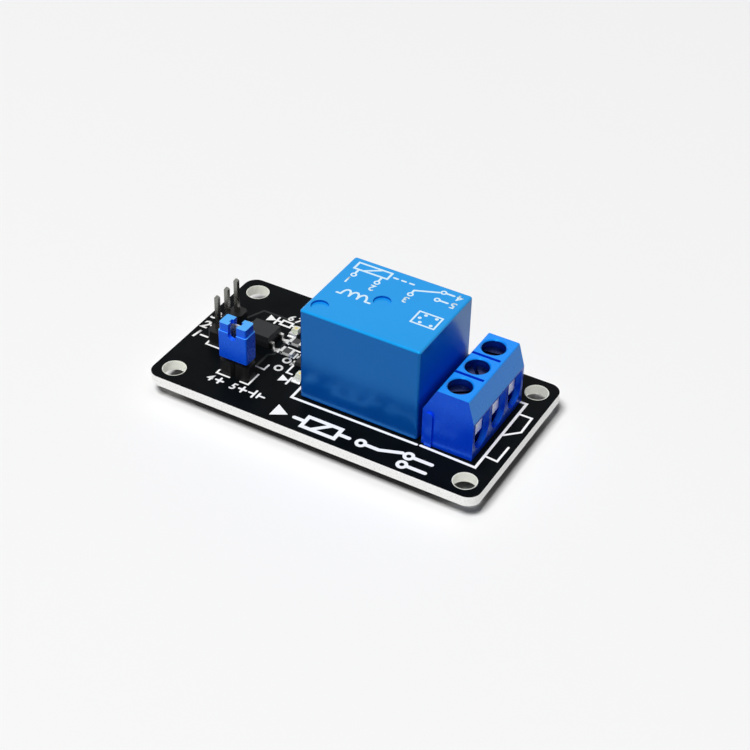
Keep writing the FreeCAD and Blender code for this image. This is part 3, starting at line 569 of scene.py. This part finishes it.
# Print
class Print:
    """Lines and signs laid on one face, in six thicknesses a hair apart, so that crossing tops differ."""

    def __init__(self, level, thickness):
        self.mesh = bmesh.new()
        self.low = level
        self.thickness = thickness
        self.count = 0

    def high(self):
        hair, levels = 0.0015, 6
        self.count += 1
        return self.low + self.thickness + hair * (self.count % levels)

    def line(self, points, width, closed=False):
        stroke(self.mesh, points, width, self.low, self.high(), closed)

    def shape(self, points):
        prism(self.mesh, points, self.low, self.high())

    def ring(self, x, y, radius, width):
        self.line(circle(x, y, radius), width, True)

    def dot(self, x, y, radius):
        self.shape(circle(x, y, radius))

    def number(self, text, x, y, size, turn=0.0, slant=0.0):
        numeral(self.mesh, text, x, y, size, self.low, self.high(), turn, slant)

    def diode(self, x, y, size, width):
        """A diode sign that points along +X from its lower left corner."""
        self.shape([(x, y), (x + size * 0.9, y + size / 2), (x, y + size)])
        bar = x + size * 0.95
        self.line([(bar, y), (bar, y + size)], width)

    def plus(self, x, y, size, width):
        self.line([(x - size / 2, y), (x + size / 2, y)], width)
        self.line([(x, y - size / 2), (x, y + size / 2)], width)

    def coil(self, x, y, length, height, width):
        """A relay coil: a box with a slanted bar from its lower to its upper edge."""
        bar_inset = 0.1
        self.line([(x, y), (x + length, y), (x + length, y + height), (x, y + height)], width, True)
        self.line([(x + length * 0.3, y + bar_inset), (x + length * 0.7, y + height - bar_inset)], width)


outline_width = 0.42
sign_width = 0.34
corner_width = 0.3
bold_width = 0.62
label_size = 1.4
label_slant = 0.15
plus_size = 1.2


# White print on the board
def part_outlines(ink):
    """Outlines of the relay and of the screw terminal."""
    ink.line([(14.7, 8.6), (-5.75, 8.6), (-5.75, -8.1), (14.7, -8.0)], outline_width)
    ink.line([(15.3, 8.05), (23.93, 8.05), (23.93, -8.1), (15.3, -7.9)], outline_width)


def terminal_sign(ink):
    """The changeover contact drawn beside the terminal."""
    ink.line([(24.0, 5.47), (26.0, 5.5), (26.05, 1.95), (24.2, 0.15)], sign_width)
    ink.line([(24.0, -5.25), (25.95, -5.4), (26.0, -1.95)], sign_width)


def signal_header_signs(ink):
    """Two corners of the signal header's outline, and the signs of its three contacts."""
    ink.line([(-23.35, -2.9), (-23.35, -3.95), (-20.75, -3.95)], corner_width)
    ink.line([(-23.35, 2.9), (-23.35, 3.95), (-20.75, 3.95)], corner_width)
    for text, y in (("1", -3.35), ("2", -0.75), ("3", 1.95)):
        ink.number(text, -26.8, y, 1.85, slant=label_slant)
    ink.line([(-25.3, -2.5), (-24.1, -2.5)], sign_width)
    ink.plus(-24.7, 0.2, plus_size, sign_width)
    ink.line([(-25.3, 2.9), (-24.2, 2.9)], sign_width)
    ink.shape([(-24.6, 2.3), (-23.7, 2.9), (-24.6, 3.5)])


def supply_header_signs(ink):
    """Corners round the jumper cap, the numbers 4 and 5 with a plus each, and a battery."""
    ink.line([(-12.55, -3.5), (-12.6, -4.73), (-14.1, -4.65)], corner_width)
    ink.line([(-12.65, -6.15), (-12.65, -8.95), (-14.0, -8.95)], corner_width)
    ink.line([(-18.1, -8.2), (-18.1, -8.95), (-15.9, -8.95)], corner_width)
    row, foot = -10.3, -11.0
    for text, text_x, plus_x in (("4", -18.8, -16.7), ("5", -14.8, -12.7)):
        ink.number(text, text_x, foot, label_size, slant=label_slant)
        ink.plus(plus_x, row, plus_size, sign_width)
    ink.line([(-11.6, row), (-10.9, row)], corner_width)
    ink.line([(-10.7, row + 0.8), (-10.7, row - 0.8)], sign_width)
    ink.line([(-10.0, row + 0.5), (-10.0, row - 0.5)], sign_width)
    ink.line([(-9.8, row), (-9.0, row)], corner_width)


def small_part_signs(ink):
    """Diode and resistor signs, the numbers 6 and 7, and short marks between the small parts."""
    row = 6.5
    ink.diode(-19.0, 5.7, 1.6, sign_width)
    ink.line([(-17.2, row), (-16.7, row)], sign_width)
    ink.line([(-16.6, 5.95), (-14.9, 5.95), (-14.9, 7.05), (-16.6, 7.05)], sign_width, True)
    ink.line([(-14.8, row), (-14.4, row)], sign_width)
    ink.number("6", -16.4, 7.5, label_size, slant=label_slant)
    ink.number("7", -15.1, 7.5, label_size, slant=label_slant)
    ink.diode(-9.6, -5.9, 1.6, sign_width)
    ink.line([(-9.42, -1.4), (-9.42, -3.6), (-8.5, -3.6)], corner_width)
    ink.line([(-12.35, 1.62), (-10.3, 1.55)], corner_width)


def front_diagram(ink):
    """A relay diagram in bold lines along the front edge: arrow, coil and changeover contact."""
    row, upper_row, lower_row = -11.75, -10.75, -12.75
    contact_radius, contact_width = 0.62, 0.52
    ink.shape([(-6.4, row - 1.35), (-4.1, row), (-6.4, row + 1.35)])
    ink.line([(-3.0, row), (-1.5, row)], bold_width)
    ink.coil(-1.2, -12.9, 5.4, 2.3, bold_width)
    ink.line([(4.5, row), (6.0, row)], bold_width)
    ink.ring(7.9, row, contact_radius, contact_width)
    ink.line([(8.8, row), (10.8, row), (13.9, -10.6)], bold_width)
    for fixed_row in (upper_row, lower_row):
        ink.ring(15.0, fixed_row, contact_radius, contact_width)
        ink.line([(15.9, fixed_row), (18.6, fixed_row)], bold_width)


legend = Print(deck, thickness=0.02)
for draw in (part_outlines, terminal_sign, signal_header_signs, supply_header_signs, small_part_signs,
             front_diagram):
    draw(legend)
piece("board_legend", legend.mesh, white_ink, "module")


# Print on the relay
def relay_diagram(ink):
    """How the relay's coil and contacts are joined to its pins 1 to 5."""
    pin_row, number_row = 3.8, 3.0
    ink.coil(-3.4, 5.3, 5.4, 1.6, sign_width)
    for x in (-2.6, 1.2):
        ink.line([(x, 5.2), (x, 4.2)], sign_width)
    for start in (2.7, 4.0, 5.3):
        ink.line([(start, 6.1), (start + 0.6, 6.1)], sign_width)
    ink.line([(6.6, 4.2), (6.6, 4.9), (9.9, 6.3)], sign_width)
    for y in (6.6, 4.6):
        ink.line([(10.9, y), (12.1, y)], sign_width)
    for x, y in ((-2.6, pin_row), (1.2, pin_row), (6.6, pin_row), (10.45, 6.6), (10.45, 4.6)):
        ink.ring(x, y, 0.36, 0.26)
    numbers = (("1", -2.3, number_row), ("2", 1.7, number_row), ("3", 7.1, number_row),
               ("4", 13.5, 7.15), ("5", 13.5, 5.15))
    for text, x, y in numbers:
        ink.number(text, x, y, label_size, turn=180)


def winding_sign(ink):
    """Three arches with a lead at each end."""
    row, half_width, height, steps = -1.1, 0.65, 1.3, 12
    ink.line([(-2.5, row), (-1.9, row)], sign_width)
    for arch in range(3):
        middle = -1.2 + 2 * half_width * arch
        turns = (math.pi * k / steps for k in range(steps + 1))
        ink.line([(middle - half_width * math.cos(a), row + height * math.sin(a)) for a in turns], sign_width)
    ink.line([(2.2, row), (2.8, row)], sign_width)


def pin_map(ink):
    """The five pins as they stand underneath."""
    ink.line([(9.7, -1.8), (13.3, -1.8), (13.3, 1.0), (9.7, 1.0)], 0.28, True)
    for x, y in ((10.4, -0.4), (10.9, 0.5), (10.9, -1.3), (12.6, 0.5), (12.6, -1.3)):
        ink.dot(x, y, 0.27)


marks = Print(relay_top, thickness=0.006)
for draw in (relay_diagram, winding_sign, pin_map):
    draw(marks)
piece("relay_legend", marks.mesh, relay_ink, "module")

# Tails: place in X and Y, and half the diagonal of the section
tails = [(header_x, y, 0.45) for y in header_rows]
tails += [(x, supply_y, 0.45) for x in supply_pins]
tails += [(load_pin_x, y, 0.56) for y in relay_pin_rows]
tails += [(coil_pin_x, y, 0.42) for y in relay_pin_rows]
tails += [(common_pin_x, relay_y, 0.56)]
tails += [(screw_x, y, 0.64) for y in screw_rows]


def solder_fillets():
    """Smooth, hollowed joints that stand in for the plain ones under the board."""
    pad_radius, height, skin = 0.95, 0.9, 0.06
    spread_power, climb_power = 2.3, 0.9
    sides, steps = 40, 9
    mesh = bmesh.new()
    for x, y, half in tails:
        tip_radius = half + skin
        rings = []
        for step in range(steps + 1):
            share = step / steps
            radius = tip_radius + (pad_radius - tip_radius) * share ** spread_power
            level = underside - height * (1 - share) ** climb_power
            rings.append([mesh.verts.new((px * mm, py * mm, level * mm))
                          for px, py in circle(x, y, radius, sides)])
        for lower, upper in zip(rings, rings[1:]):
            for i in range(sides):
                k = (i + 1) % sides
                mesh.faces.new((lower[i], lower[k], upper[k], upper[i]))
        mesh.faces.new(rings[0])
        mesh.faces.new(rings[-1])
    return mesh


joints = piece("tail_solder", solder_fillets(), solder, "module", smooth=50)
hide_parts("solder_joints")


# Pads and solder of the surface-mounted parts
def pad_and_fillet(mesh, x, y, along, out, width, pad_length, rise):
    """A tinned pad with a hollow fillet that climbs the end of a lead or chip. The place is the foot of the
    end face, along is the axis that the part lies on, and out is the way the face looks."""
    pad_top, pad_rim, toe = 0.03, 0.025, 0.06
    back_share, climb_power, steps = 0.45, 2.2, 7

    def spot(u, v, z):
        u, v = (x + out * u, y + v) if along == "x" else (x + v, y + out * u)
        return mesh.verts.new((u * mm, v * mm, (deck + z) * mm))

    back = pad_length * back_share
    front = pad_length - back
    outline = [(-back, pad_top), (-back, 0.0), (front, 0.0), (front, pad_rim)]
    for step in range(steps + 1):
        share = step / steps
        outline.append(((front - toe) * (1 - share), pad_top + rise * share ** climb_power))
    left = [spot(u, -width / 2, z) for u, z in outline]
    right = [spot(u, width / 2, z) for u, z in outline]
    mesh.faces.new(left)
    mesh.faces.new(right[::-1])
    for i in range(len(outline)):
        k = (i + 1) % len(outline)
        mesh.faces.new((left[i], right[i], right[k], left[k]))


def surface_solder():
    opto_reach, transistor_reach, diode_reach, chip_reach = 3.5, 1.2, 2.6, 1.05
    lead_pitch = 0.95
    mesh = bmesh.new()
    for y in (opto_y - pin_pitch / 2, opto_y + pin_pitch / 2):
        for out in (-1, 1):
            pad_and_fillet(mesh, opto_x + out * opto_reach, y, "x", out, width=0.9, pad_length=1.1, rise=0.16)
    for out, row in ((-1, -1), (-1, 1), (1, 0)):
        pad_and_fillet(mesh, transistor_x + out * transistor_reach, transistor_y + row * lead_pitch, "x", out,
                       width=0.7, pad_length=0.7, rise=0.16)
    for out in (-1, 1):
        pad_and_fillet(mesh, diode_x, diode_y + out * diode_reach, "y", out,
                       width=1.9, pad_length=1.2, rise=0.75)
    for x, y in row_resistors:
        for out in (-1, 1):
            pad_and_fillet(mesh, x + out * chip_reach, y, "x", out, width=1.4, pad_length=0.85, rise=0.34)
    for x, y in (pull_resistor, power_led, relay_led):
        for out in (-1, 1):
            pad_and_fillet(mesh, x, y + out * chip_reach, "y", out, width=1.4, pad_length=0.85, rise=0.34)
    return mesh


piece("surface_solder", surface_solder(), solder, "module", smooth=35)

# Copper: tracks under the mask on both faces, and bare tinned strips for the contact current
vias = ((-10.9, -1.15), (-11.0, -3.32))
left_pin, right_pin = supply_pins
front_row, back_row = relay_pin_rows
upper_tracks = (
    ([(-20.3, 0.13), (-21.2, -1.2), (header_x, -1.6)], 0.35),
    ([(-13.3, 0.13), (-12.75, 0.35)], 0.35),
    ([(-13.3, 2.67), (-12.75, 3.0)], 0.35),
    ([(-10.65, 0.35), (-9.65, 0.35)], 0.35),
    ([(-7.25, -0.6), (-6.3, -0.6), (-6.3, 1.2), (-7.0, 1.8)], 0.4),
    ([(-10.65, 3.0), (-10.2, 3.4), (-10.2, 7.0), (-11.25, 7.45)], 0.35),
    ([(right_pin, -5.6), (right_pin, -1.5), (-13.35, -0.8), (-13.35, 4.3)], 0.4),
    ([(header_x, 4.1), (-20.5, 7.6), (-13.6, 7.6), (-13.35, 6.6)], 0.4),
    ([(left_pin, -5.6), (left_pin, -2.2), (-20.3, -2.2)], 0.4),
)
lower_tracks = (
    ([(header_x, -pin_pitch), (-19.0, -pin_pitch), (left_pin, -5.0), (left_pin, supply_y)], 0.6),
    ([(header_x, 0.0), (-15.0, 0.0), vias[0]], 0.4),
    ([(right_pin, supply_y), (-11.0, -5.0), vias[1]], 0.4),
    ([(header_x, pin_pitch), (-20.0, 4.6), (-8.0, 4.6), (-4.0, back_row), (coil_pin_x, back_row)], 0.6),
    ([(right_pin, supply_y), (-8.0, supply_y), (-5.0, front_row), (coil_pin_x, front_row)], 0.8),
)
contact_strips = (
    [(load_pin_x, front_row), (15.5, -5.2), (screw_x, screw_rows[0])],
    [(common_pin_x, relay_y), (4.0, 0.45), (screw_x, screw_rows[1])],
    [(load_pin_x, back_row), (15.5, 6.1), (screw_x, screw_rows[2])],
)


def covered_tracks():
    upper_thickness, lower_thickness = 0.012, 0.015
    mesh = bmesh.new()
    for points, width in upper_tracks:
        stroke(mesh, points, width, deck, deck + upper_thickness)
    for points, width in lower_tracks:
        stroke(mesh, points, width, underside - lower_thickness, underside)
    return mesh


def bare_copper():
    """The contact strips, and the rings round the tails and the vias."""
    strip_width, strip_thickness = 2.6, 0.03
    pad_radius, pad_thickness = 1.15, 0.02
    via_radius, via_width, via_rise = 0.55, 0.34, 0.015
    mesh = bmesh.new()
    for points in contact_strips:
        stroke(mesh, points, strip_width, underside - strip_thickness, underside)
    for x, y, half in tails:
        prism(mesh, circle(x, y, pad_radius), underside - pad_thickness, underside)
    for x, y in vias:
        stroke(mesh, circle(x, y, via_radius), via_width, deck, deck + via_rise, True)
        stroke(mesh, circle(x, y, via_radius), via_width, underside - pad_thickness, underside, True)
    return mesh


piece("covered_tracks", covered_tracks(), masked_copper(), "module")
piece("tinned_copper", bare_copper(), solder, "module")


# The relay's leaf spring, which bends where its armature rocks
def leaf_path():
    """The leaf's inner side in X and Z: along the armature, round the hinge and down behind the yoke."""
    hinge_x, hinge_z = yoke_low.x, yoke_high.z
    lift = math.radians(-3)
    above_hinge, behind_hinge = 1.05, 0.01
    stops_along, levels_down = (11.6, 5.0, -0.6), (14.4, 11.5, 8.3)
    radius, steps = 0.5, 8
    top = hinge_z + above_hinge
    corner_x, corner_z = hinge_x + radius, top - radius
    flat = [(x, top) for x in (*stops_along, corner_x)]
    bend = (math.pi / 2 * k / steps for k in range(1, steps + 1))
    flat += [(corner_x - radius * math.sin(a), corner_z + radius * math.cos(a)) for a in bend]
    lifted = []
    for x, z in flat:
        u, v = x - hinge_x, z - hinge_z
        lifted.append((hinge_x + u * math.cos(lift) + v * math.sin(lift),
                       hinge_z - u * math.sin(lift) + v * math.cos(lift)))
    return lifted + [(hinge_x - behind_hinge, z) for z in levels_down]


def leaf_spring():
    """The leaf as one bent strip at rest."""
    thickness, width = 0.15, 5.0
    path = leaf_path()
    mesh = bmesh.new()
    strips = []
    for i, (x, z) in enumerate(path):
        before = path[max(i - 1, 0)]
        after = path[min(i + 1, len(path) - 1)]
        along = Vector((after[0] - before[0], after[1] - before[1])).normalized()
        out = Vector((along.y, -along.x)) * thickness
        corners = []
        for y in (relay_y - width / 2, relay_y + width / 2):
            for k in (0, 1):
                corners.append(mesh.verts.new(((x + out.x * k) * mm, y * mm, (z + out.y * k) * mm)))
        strips.append(corners)
    for a, b in zip(strips, strips[1:]):
        for i, k in ((0, 1), (1, 3), (3, 2), (2, 0)):
            mesh.faces.new((a[i], a[k], b[k], b[i]))
    for end in (strips[0], strips[-1]):
        mesh.faces.new((end[0], end[1], end[3], end[2]))
    bmesh.ops.recalc_face_normals(mesh, faces=mesh.faces)
    leaf = solid("leaf_spring", mesh, spring_copper)
    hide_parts("contact_spring")
    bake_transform(leaf)


leaf_spring()


# Floor, lights and camera
def seen_directly(tree):
    """1 for what the camera sees itself, in gloss or through glass, and 0 for what only lights the part."""
    rays = tree.nodes.new("ShaderNodeLightPath").outputs
    shown = rays["Is Camera Ray"]
    for kind in ("Is Glossy Ray", "Is Transmission Ray"):
        total = tree.nodes.new("ShaderNodeMath")
        tree.links.new(shown, total.inputs[0])
        tree.links.new(rays[kind], total.inputs[1])
        shown = total.outputs[0]
    return shown


def pale_floor():
    """Shown paler than the light it throws back on to the part, and it keeps the shadow."""
    hidden_tone, shown_tone = 0.35, 0.945
    paint = Paint("pale_floor", roughness=0.9, specular_ior_level=0.1)
    paint.set("Base Color", paint.mix(seen_directly(paint.tree), shaded((1, 1, 1), hidden_tone),
                                      shaded((1, 1, 1), shown_tone)))
    return paint.material


def studio():
    """A white surround that shows nearly white and gives little light of its own."""
    hidden_strength, shown_strength = 0.08, 0.92
    world = bpy.data.worlds.new("studio")
    bpy.context.scene.world = world
    world.use_nodes = True
    sky = world.node_tree
    backdrop = sky.nodes["Background"]
    backdrop.inputs["Color"].default_value = (1, 1, 1, 1)
    level = sky.nodes.new("ShaderNodeMapRange")
    sky.links.new(seen_directly(sky), level.inputs["Value"])
    level.inputs["To Min"].default_value = hidden_strength
    level.inputs["To Max"].default_value = shown_strength
    sky.links.new(level.outputs["Result"], backdrop.inputs["Strength"])


def softbox(name, place, aim, size, watts):
    lamp = bpy.data.lights.new(name, "AREA")
    lamp.shape = "SQUARE"
    lamp.size = size
    lamp.energy = watts
    holder = bpy.data.objects.new(name, lamp)
    holder.location = place
    holder.rotation_euler = (Vector(aim) - Vector(place)).to_track_quat("-Z", "Y").to_euler()
    bpy.context.scene.collection.objects.link(holder)


def photo_camera():
    """The camera stands where the photograph was taken from. Its focal length is given in pixels."""
    azimuth, elevation, roll = (math.radians(a) for a in (28.922, 38.087, 1.52))
    target = Vector((1.934, 2.618, deck)) * mm
    distance = 254.796 * mm
    focal_pixels, image_pixels = 1741.495, 750
    back = Vector((math.sin(azimuth) * math.cos(elevation), -math.cos(azimuth) * math.cos(elevation),
                   math.sin(elevation)))
    right = Vector((math.cos(azimuth), math.sin(azimuth), 0))
    up = back.cross(right)
    tilted_right = right * math.cos(roll) + up * math.sin(roll)
    tilted_up = up * math.cos(roll) - right * math.sin(roll)
    lens = bpy.data.cameras.new("camera")
    lens.sensor_width = 36.0
    lens.lens = lens.sensor_width * focal_pixels / image_pixels
    lens.clip_start = 0.01
    camera = bpy.data.objects.new("camera", lens)
    turn = Matrix((tilted_right, tilted_up, back)).transposed().to_4x4()
    camera.matrix_world = Matrix.Translation(target + back * distance) @ turn
    bpy.context.scene.collection.objects.link(camera)
    bpy.context.scene.camera = camera


floor_mesh = bmesh.new()
bmesh.ops.create_circle(floor_mesh, cap_ends=True, radius=4.0, segments=96)
floor = solid("floor", floor_mesh, pale_floor())
studio()
softbox("overhead_softbox", place=(-0.2, -1.3, 3.2), aim=(0, 0, 0), size=1.3, watts=119.0)
photo_camera()
bpy.context.scene.view_settings.view_transform = "Standard"
